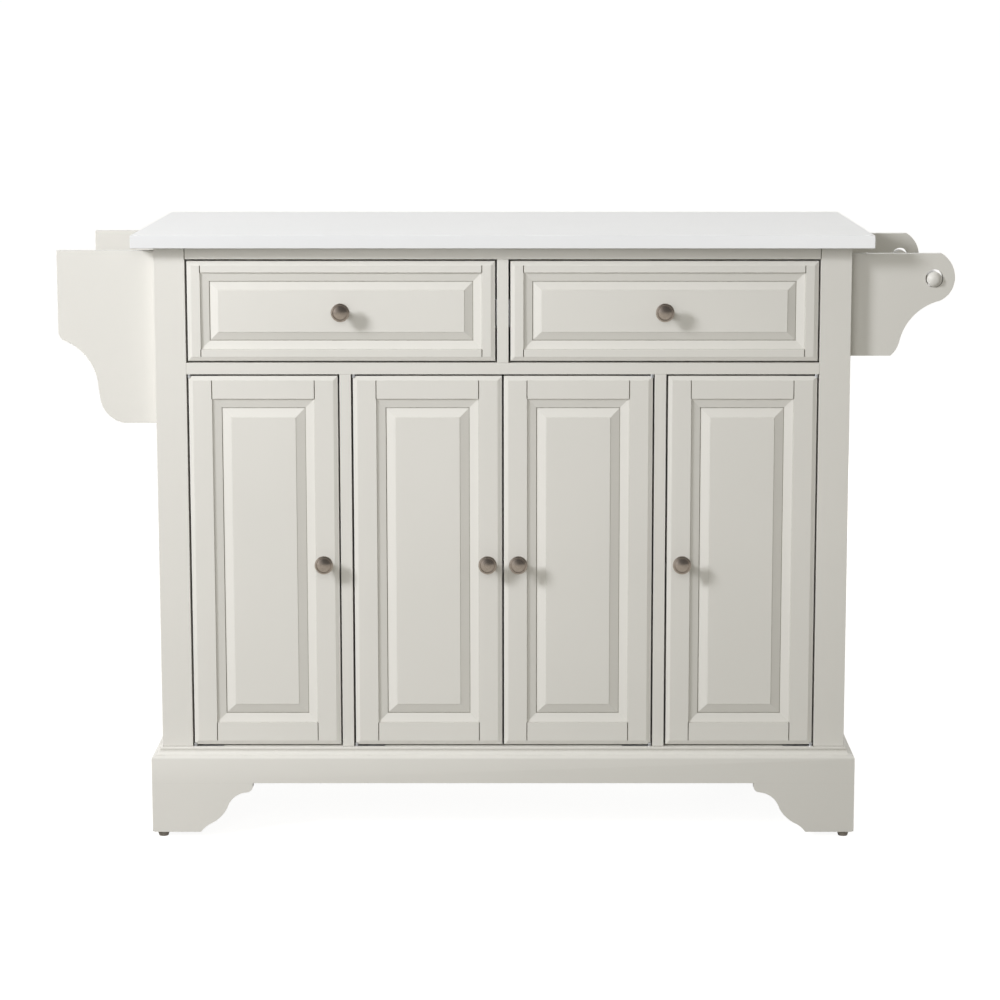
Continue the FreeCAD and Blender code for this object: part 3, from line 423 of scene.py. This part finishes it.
# %% Cabinet boards
board_radius = 0.4
quirk_depth = 0.8
quirk_deepened = 1.2
upright_nodes = ["corner_posts", "front_stiles", "side_panels", "cupboard_partitions", "drawer_divider", "rack_end_panels", "towel_brackets", "back_panel"]
level_nodes = ["front_rails", "rear_stretcher", "drawer_deck", "cabinet_floor", "cupboard_shelves", "base_boards", "bracket_feet", "rack_shelves", "rack_rails"]
for node in upright_nodes:
    deeper = quirk_deepened if node == "corner_posts" else 0.0
    piece = softened(node, board_radius, cream_upright, deeper=deeper)
    print(piece.name, faces_of(piece), "faces")
for node in level_nodes:
    deeper = quirk_deepened if node == "front_rails" else 0.0
    piece = softened(node, board_radius, cream_level, deeper=deeper)
    print(piece.name, faces_of(piece), "faces")

# %% [markdown]
# ## Framed fronts
# Every door and drawer front is a raised panel held in four moulded boards that meet in
# mitres. The CAD already has the moulding, the bevel of the panel and the V line of each
# joint, so a front needs only its arrises. Frame and panel stay separate pieces, as on the
# bench, and the shading is kept flat on the narrow slopes, because they draw the panel.

# %% Door and drawer fronts
door_names = ["door_1", "door_2", "door_3", "door_4"]
drawer_names = ["left_drawer", "right_drawer"]
for door in door_names:
    piece = softened(door + "_frame", 0.3, cream_upright, smooth_angle=6.0, deeper=quirk_deepened)
    panel = softened(door + "_panel", 0.3, cream_upright, smooth_angle=6.0)
    print(piece.name, faces_of(piece), "faces, panel", faces_of(panel))
for drawer in drawer_names:
    piece = softened(drawer + "_front_frame", 0.3, cream_level, smooth_angle=6.0, deeper=quirk_deepened)
    panel = softened(drawer + "_front_panel", 0.3, cream_level, smooth_angle=6.0)
    print(piece.name, faces_of(piece), "faces, panel", faces_of(panel))

# %% [markdown]
# ## Worktop, drop leaf and towel rod
# The worktop and the leaf are flat boards with hand-eased edges, a little rounder than the
# cabinet's. The rod is turned, so it is smoothed round its length and keeps the two steps
# of its domed ends. All three are copies of the CAD shape with a bevel, which keeps their
# exact size.

# %% Worktop, leaf and rod
worktop = softened("countertop", 0.6, worktop_white)
leaf = softened("leaf_board", 0.6, worktop_white)
rod_piece = softened("towel_rod", 0.3, rod_paint, smooth_angle=35.0)
print("worktop", faces_of(worktop), "leaf", faces_of(leaf), "rod", faces_of(rod_piece))

# %% [markdown]
# ## The turned knobs
# A knob is turned on a lathe: a flat rose against the wood, a slim neck, a bell that opens
# to a rim, a fine raised bead inside the rim, and a low domed face. The bead is what catches
# the bright ring of light. A lathe shape is one outline swept round its axis, so one point
# is extruded along the outline and spun a full turn. One knob is modelled and copied to the
# six places.

# %% Knob outline
knob_height = 27.0
dome_edge = 10.4
dome_edge_height = 23.9
dome_rise = knob_height - dome_edge_height
dome_radius = (dome_edge ** 2 + dome_rise ** 2) / (2.0 * dome_rise)


def dome_point(radius):
    return radius, knob_height - dome_radius + math.sqrt(dome_radius ** 2 - radius ** 2)


rose = [(0.0, 0.0), (7.4, 0.0), (7.85, 0.15), (8.0, 0.5), (7.95, 1.1), (7.6, 1.45), (7.0, 1.6)]
neck = [(6.1, 2.0), (5.5, 2.7), (5.2, 3.7), (5.1, 5.2), (5.1, 9.6), (5.25, 11.6), (5.7, 13.4)]
bell = [(6.6, 15.2), (8.0, 16.9), (9.9, 18.5), (11.8, 19.8), (13.0, 20.7), (13.55, 21.3)]
rim = [(13.75, 21.9), (13.65, 22.5), (13.3, 23.0), (12.6, 23.3), (12.1, 23.4)]
bead = [(11.9, 23.75), (11.55, 24.05), (11.15, 24.1), (10.8, 23.95), (10.6, 23.6)]
dome = [dome_point(radius) for radius in (dome_edge, 9.4, 8.1, 6.7, 5.2, 3.6, 1.9, 0.0)]
knob_outline = rose + neck + bell + rim + bead + dome
print("knob outline points", len(knob_outline), "dome radius", round(dome_radius, 2))

# %% [markdown]
# ## Spinning the outline
# The spin tool needs a line to sweep. A small plane is merged to one point, the point is
# extruded from corner to corner of the outline, and the line is spun about its axis. The
# doubled seam and the doubled poles are merged, and the normals are turned outwards again.

# %% Knob spun from its outline
def spun(name, outline, steps):
    """A closed turned shape: the outline is drawn from one point and spun about the Y axis."""
    bpy.ops.mesh.primitive_plane_add(size=1.0 * MM)
    piece = bpy.context.object
    piece.name = name
    piece.data.name = name
    bpy.ops.object.mode_set(mode="EDIT")
    bpy.ops.mesh.select_all(action="SELECT")
    bpy.ops.mesh.merge(type="CENTER")
    first = outline[0]
    bpy.ops.transform.translate(value=(first[0] * MM, -first[1] * MM, 0.0))
    for start, end in zip(outline, outline[1:]):
        step = ((end[0] - start[0]) * MM, -(end[1] - start[1]) * MM, 0.0)
        bpy.ops.mesh.extrude_region_move(TRANSFORM_OT_translate={"value": step})
    bpy.ops.mesh.select_all(action="SELECT")
    bpy.ops.mesh.spin(steps=steps, angle=2.0 * math.pi, center=(0.0, 0.0, 0.0), axis=(0.0, 1.0, 0.0))
    bpy.ops.mesh.select_all(action="SELECT")
    bpy.ops.mesh.remove_doubles(threshold=0.002 * MM)
    bpy.ops.mesh.normals_make_consistent(inside=False)
    bpy.ops.object.mode_set(mode="OBJECT")
    bpy.ops.object.shade_smooth_by_angle(angle=math.radians(50.0))
    return piece


bpy.ops.object.select_all(action="DESELECT")
knob_pattern = spun("knob_pattern", knob_outline, 48)
print("knob faces", faces_of(knob_pattern), "size", tuple(round(v / MM, 2) for v in knob_pattern.dimensions))

# %% [markdown]
# ## Screw heads
# Hinge and stay plates are held by small round-headed screws, and a knob by one screw from
# behind. A head is a low dome spun like the knob. The driver's cross is pressed into it: the
# faces round the middle are inset to a cross and pushed down.

# %% Screw head with a cross recess
def screw_head(name, radius, rise):
    """A low domed head about the Y axis, its flat back at zero, with a pressed cross."""
    flat = radius * 0.62
    outline = [(0.0, 0.0), (radius, 0.0), (radius, rise * 0.3), (radius * 0.93, rise * 0.62)]
    outline += [(radius * 0.8, rise * 0.88), (flat, rise)]
    piece = spun(name, outline, 32)
    only(piece)
    bpy.ops.object.mode_set(mode="EDIT")
    bpy.ops.mesh.select_all(action="DESELECT")
    bpy.ops.mesh.select_non_manifold()
    bpy.ops.mesh.edge_face_add()
    bpy.ops.mesh.inset(thickness=flat * 0.12 * MM)
    bpy.ops.mesh.poke()
    bpy.ops.object.mode_set(mode="OBJECT")
    wedges = [face for face in piece.data.polygons if len(face.vertices) == 3 and face.center.y < -rise * 0.9 * MM]
    for face in piece.data.polygons:
        face.select = False
    for face in wedges:
        angle = math.degrees(math.atan2(face.center.z, face.center.x)) % 90.0
        face.select = min(angle, 90.0 - angle) < 12.0
    bpy.ops.object.mode_set(mode="EDIT")
    bpy.ops.mesh.select_mode(type="FACE")
    bpy.ops.mesh.extrude_region_move(TRANSFORM_OT_translate={"value": (0.0, rise * 0.55 * MM, 0.0)})
    bpy.ops.mesh.select_mode(type="VERT")
    bpy.ops.mesh.select_all(action="SELECT")
    bpy.ops.mesh.normals_make_consistent(inside=False)
    bpy.ops.object.mode_set(mode="OBJECT")
    bpy.ops.object.shade_smooth_by_angle(angle=math.radians(35.0))
    piece.data.materials.append(zinc)
    print(name, faces_of(piece), "faces")
    return piece


knob_screw_rise = 2.4
plate_screw = screw_head("plate_screw_pattern", 3.2, 1.0)
knob_screw = screw_head("knob_screw_pattern", 4.0, knob_screw_rise)

# %% [markdown]
# ## Placing the copies
# One pattern knob is copied six times. Each copy gets its own mesh, with its place written
# into the mesh, so the object itself stays at the origin. The brushed marks run round each
# knob's own axis, so every knob has its own finish, centred on it.

# %% Knobs in place
def placed_copy(pattern, name, place, body):
    """A copy with its own mesh, with its place in the mesh."""
    piece = bpy.data.objects.new(name, pattern.data.copy())
    bpy.context.scene.collection.objects.link(piece)
    only(piece)
    bpy.ops.object.mode_set(mode="EDIT")
    bpy.ops.mesh.select_all(action="SELECT")
    bpy.ops.transform.translate(value=place)
    bpy.ops.object.mode_set(mode="OBJECT")
    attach(piece, body)
    return piece


knobs = []
for owner in door_names + drawer_names:
    low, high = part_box(owner + "_knob")
    centre = ((low.x + high.x) / 2.0, low.y + knob_height * MM, (low.z + high.z) / 2.0)
    nickel = turned_nickel(owner + "_turned_nickel", centre)
    knob = placed_copy(knob_pattern, owner + "_turned_knob", centre, owner)
    knob.data.materials.append(nickel)
    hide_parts(owner + "_knob")
    knobs.append(knob)
    print(knob.name, "at", tuple(round(v, 4) for v in centre))
bpy.data.objects.remove(knob_pattern)

# %% [markdown]
# ## Screws in place
# Each knob is pulled tight by a pan head behind its front. Each hinge plate and wing and each
# foot of a stay bracket has two screws. Their places follow from the boxes of the nodes: the
# outer hinges stand half a plate in from the ends.

# %% Knob screws
facing_down = (math.radians(90.0), "X")
facing_front = (0.0, "X")
facing_back = (math.radians(180.0), "Z")


def place_screw(pattern, name, place, facing, body):
    screw = placed_copy(pattern, name, (0.0, 0.0, 0.0), body)
    bpy.ops.object.mode_set(mode="EDIT")
    bpy.ops.mesh.select_all(action="SELECT")
    bpy.ops.transform.rotate(value=facing[0], orient_axis=facing[1], center_override=(0.0, 0.0, 0.0))
    bpy.ops.transform.translate(value=place)
    bpy.ops.object.mode_set(mode="OBJECT")


for owner in door_names + drawer_names:
    low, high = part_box(owner + "_knob")
    place = ((low.x + high.x) / 2.0, high.y - knob_screw_rise * MM, (low.z + high.z) / 2.0)
    place_screw(knob_screw, owner + "_knob_screw", place, facing_back, owner)
bpy.data.objects.remove(knob_screw)
print("knob screws", len(door_names + drawer_names))

# %% Hinge screws
hinge_width = 70.0 * MM
hinge_screw_offset = 22.0 * MM
plates_low, plates_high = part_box("leaf_hinge_plates")
wings_low, wings_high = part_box("leaf_hinge_wings")
hinge_middle = (plates_low.x + plates_high.x) / 2.0
hinge_reach = (plates_high.x - plates_low.x - hinge_width) / 2.0
knuckle_back = plates_high.y
plate_z = plates_high.z - 2.0 * MM
wing_y = wings_high.y - 2.0 * MM
plate_y = (plates_low.y + knuckle_back - 8.6 * MM) / 2.0
wing_z = (wings_low.z + wings_high.z - 8.6 * MM) / 2.0
for index in (-1, 0, 1):
    for side in (-1, 1):
        x = hinge_middle + index * hinge_reach + side * hinge_screw_offset
        place_screw(plate_screw, "hinge_plate_screw", (x, plate_y, plate_z), facing_down, "island")
        place_screw(plate_screw, "hinge_wing_screw", (x, wing_y, wing_z), facing_front, "drop_leaf")
print("hinge screws at z", round(plate_z, 4), "and", round(wing_z, 4))

# %% [markdown]
# ## Screws of the folding stays
# A stay's bracket has a foot on the post and a foot on the leaf. The screws sit in the
# middle of each foot, above and below the pin, and each rides with the body it holds.

# %% Stay screws
stay_screw_offset = 17.0 * MM
stay_foot_width = 18.5 * MM
post_low, post_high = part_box("stay_post_brackets")
leaf_low, leaf_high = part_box("stay_leaf_brackets")
for side in (-1, 1):
    post_edge = post_low.x if side < 0 else post_high.x
    leaf_edge = leaf_low.x if side < 0 else leaf_high.x
    for lift in (-1, 1):
        post_z = (post_low.z + post_high.z) / 2.0 + lift * stay_screw_offset
        leaf_z = (leaf_low.z + leaf_high.z) / 2.0 + lift * stay_screw_offset
        post_x = post_edge - side * (stay_foot_width + 3.5 * MM) / 2.0
        leaf_x = leaf_edge - side * (stay_foot_width - 3.0 * MM) / 2.0
        place_screw(plate_screw, "stay_post_screw", (post_x, post_low.y + 2.0 * MM, post_z), facing_back, "island")
        place_screw(plate_screw, "stay_leaf_screw", (leaf_x, leaf_high.y - 2.0 * MM, leaf_z), facing_front, "drop_leaf")
bpy.data.objects.remove(plate_screw)
print("stay screws beside x", round(post_x, 4), "and", round(leaf_x, 4))

# %% [markdown]
# ## Finishes for the pieces that keep their CAD shape
# Hinges, pivots, tracks, stays, pins, glides and the drawer boxes are right as drawn and
# get their finish in their own material slots.

# %% CAD nodes dressed
finish_of_slot = {"zinc_steel": zinc, "drawer_wood": birch, "glide_plastic": glide_plastic, "painted_wood": cream_level, "painted_rod": rod_paint}
kept = 0
for name, node in frame["nodes"].items():
    if node.hide_render:
        continue
    for index, old in enumerate(node.data.materials):
        if old.name in finish_of_slot:
            node.data.materials[index] = finish_of_slot[old.name]
            kept += 1
        else:
            print("no finish for", name, old.name)
print("CAD nodes dressed", kept)

# %% [markdown]
# ## Floor, world and lights
# The photograph is a bright catalogue picture: an even white surround, and one strong soft
# light from the upper left in front, which models the mouldings and throws the knobs' shadows
# to the lower right. The world gives an even, slightly warm fill, helped by a weak light in
# front. Reflections see a studio that is dark above the camera and bright behind the island,
# to the left and on the floor, as the knobs and the sheen of the worktop show. The camera
# sees plain white, and the floor takes only a soft contact shadow. The worktop's edge gets
# a light of its own, as a reflector card would give, and the knobs mirror the studio alone.

# %% Floor
bpy.ops.mesh.primitive_plane_add(size=60.0)
floor = bpy.context.object
floor.name = "studio_floor"
floor_finish, floor_shader = new_finish("studio_floor_paper", 0.9)
floor_shader.inputs["Base Color"].default_value = (0.29, 0.28, 0.25, 1.0)
floor_shader.inputs["Specular IOR Level"].default_value = 0.0
glow = add_node(floor_finish, "ShaderNodeEmission", Strength=0.93)
glow.inputs["Color"].default_value = (1.0, 1.0, 1.0, 1.0)
sum_shader = add_node(floor_finish, "ShaderNodeAddShader")
seen = add_node(floor_finish, "ShaderNodeLightPath")
mirrored = add_node(floor_finish, "ShaderNodeMath", operation="MULTIPLY_ADD")
mirrored.inputs[1].default_value = 0.4
floor_mix = add_node(floor_finish, "ShaderNodeMixShader")
join(floor_finish, floor_shader.outputs["BSDF"], sum_shader.inputs[0])
join(floor_finish, glow.outputs["Emission"], sum_shader.inputs[1])
join(floor_finish, seen.outputs["Is Glossy Ray"], mirrored.inputs[0])
join(floor_finish, seen.outputs["Is Camera Ray"], mirrored.inputs[2])
join(floor_finish, mirrored.outputs["Value"], floor_mix.inputs["Fac"])
join(floor_finish, floor_shader.outputs["BSDF"], floor_mix.inputs[1])
join(floor_finish, sum_shader.outputs["Shader"], floor_mix.inputs[2])
join(floor_finish, floor_mix.outputs["Shader"], floor_finish.node_tree.nodes["Material Output"].inputs["Surface"])
floor.data.materials.append(floor_finish)
print("floor", tuple(round(v, 1) for v in floor.dimensions))

# %% [markdown]
# ## The studio around it
# The world does three jobs: it fills the shadows, it is what the metal and the lacquer
# mirror, and it is the white behind the island. A light path node tells the three apart.
# One level for all would either bleach the paint or leave the knobs flat.

# %% World
world = bpy.data.worlds.new("studio_surround")
bpy.context.scene.world = world
world.use_nodes = True
tree = world.node_tree
background = tree.nodes["Background"]
ambient_level = 0.37
reflected_middle = 0.844
reflected_by_axis = {"X": -0.5, "Y": 0.574, "Z": -0.6}
reflected_least = 0.15
fill_tint = (1.0, 0.975, 0.87, 1.0)
seen_level = 1.02


def world_math(operation, first, second):
    """A sum, product or maximum of two values, each a number or a socket."""
    node = tree.nodes.new("ShaderNodeMath")
    node.operation = operation
    for socket, value in zip(node.inputs, (first, second)):
        if isinstance(value, float):
            socket.default_value = value
        else:
            tree.links.new(value, socket)
    return node.outputs["Value"]


def world_choice(chooser, otherwise, chosen):
    """One level for the rays that chooser picks, and another for the rest."""
    node = tree.nodes.new("ShaderNodeMix")
    tree.links.new(chooser, node.inputs[0])
    for socket, value in ((node.inputs[2], otherwise), (node.inputs[3], chosen)):
        if isinstance(value, float):
            socket.default_value = value
        else:
            tree.links.new(value, socket)
    return node.outputs[0]


direction = tree.nodes.new("ShaderNodeTexCoord")
axes = tree.nodes.new("ShaderNodeSeparateXYZ")
tree.links.new(direction.outputs["Generated"], axes.inputs[0])
path = tree.nodes.new("ShaderNodeLightPath")
reflected = reflected_middle
for axis, slope in reflected_by_axis.items():
    reflected = world_math("ADD", world_math("MULTIPLY", axes.outputs[axis], slope), reflected)
reflected = world_math("MAXIMUM", reflected, reflected_least)
level = world_choice(path.outputs["Is Glossy Ray"], ambient_level, reflected)
level = world_choice(path.outputs["Is Camera Ray"], level, seen_level)
tree.links.new(level, background.inputs["Strength"])
tint = tree.nodes.new("ShaderNodeMix")
tint.data_type = "RGBA"
tint.inputs[6].default_value = fill_tint
tint.inputs[7].default_value = (1.0, 1.0, 1.0, 1.0)
tree.links.new(world_math("MAXIMUM", path.outputs["Is Camera Ray"], path.outputs["Is Glossy Ray"]), tint.inputs[0])
tree.links.new(tint.outputs[2], background.inputs["Color"])
bpy.context.scene.view_settings.view_transform = "Standard"
print("world", world.name, "ambient", ambient_level)

# %% [markdown]
# ## The lamps
# The key from the upper left draws the bevels and the knobs' shadows. A weak fill in front
# lifts what the key leaves dark. A third lamp lights the worktop alone, whose front edge is
# as bright as its top in the photograph. The fourth stands behind the island at worktop
# height, out of the photograph, so that the back can be seen too.

# %% Lights
def soft_light(name, place, target, size, watts, colour=(1.0, 1.0, 1.0)):
    data = bpy.data.lights.new(name, "AREA")
    data.shape = "RECTANGLE"
    data.size = size[0]
    data.size_y = size[1]
    data.energy = watts
    data.color = colour
    lamp = bpy.data.objects.new(name, data)
    lamp.location = place
    aim = Vector(target) - Vector(place)
    lamp.rotation_euler = aim.to_track_quat("-Z", "Y").to_euler()
    lamp.visible_camera = False
    bpy.context.scene.collection.objects.link(lamp)
    print(name, "at", place, "watts", watts)
    return lamp


def lit_pieces(lamp, pieces, state):
    """The lamp lights only these pieces, or all but these."""
    receivers = bpy.data.collections.new(lamp.name + "_receivers")
    for piece in pieces:
        receivers.objects.link(piece)
    for member in receivers.collection_objects:
        member.light_linking.link_state = state
    lamp.light_linking.receiver_collection = receivers


key = soft_light("key_upper_left", (-2.86, -2.25, 2.35), (0.0, -0.2, 0.45), (0.8, 0.8), 101.5, (0.965, 0.97, 1.0))
front_fill = soft_light("front_fill", (-0.3, -2.3, 1.3), (-0.05, -0.2, 1.0), (1.2, 1.0), 11.5)
edge_light = soft_light("worktop_edge_light", (1.6, -2.6, 1.5), (0.4, -0.2, 0.9), (0.6, 0.6), 29.0)
back_fill = soft_light("back_fill", (1.6, 2.9, 1.0), (0.0, 0.2, 0.5), (1.2, 0.8), 34.0)
lit_pieces(key, knobs, "EXCLUDE")
lit_pieces(front_fill, knobs + [worktop, leaf], "EXCLUDE")
lit_pieces(edge_light, [worktop, leaf], "INCLUDE")
edge_light.visible_glossy = False
back_fill.visible_glossy = False
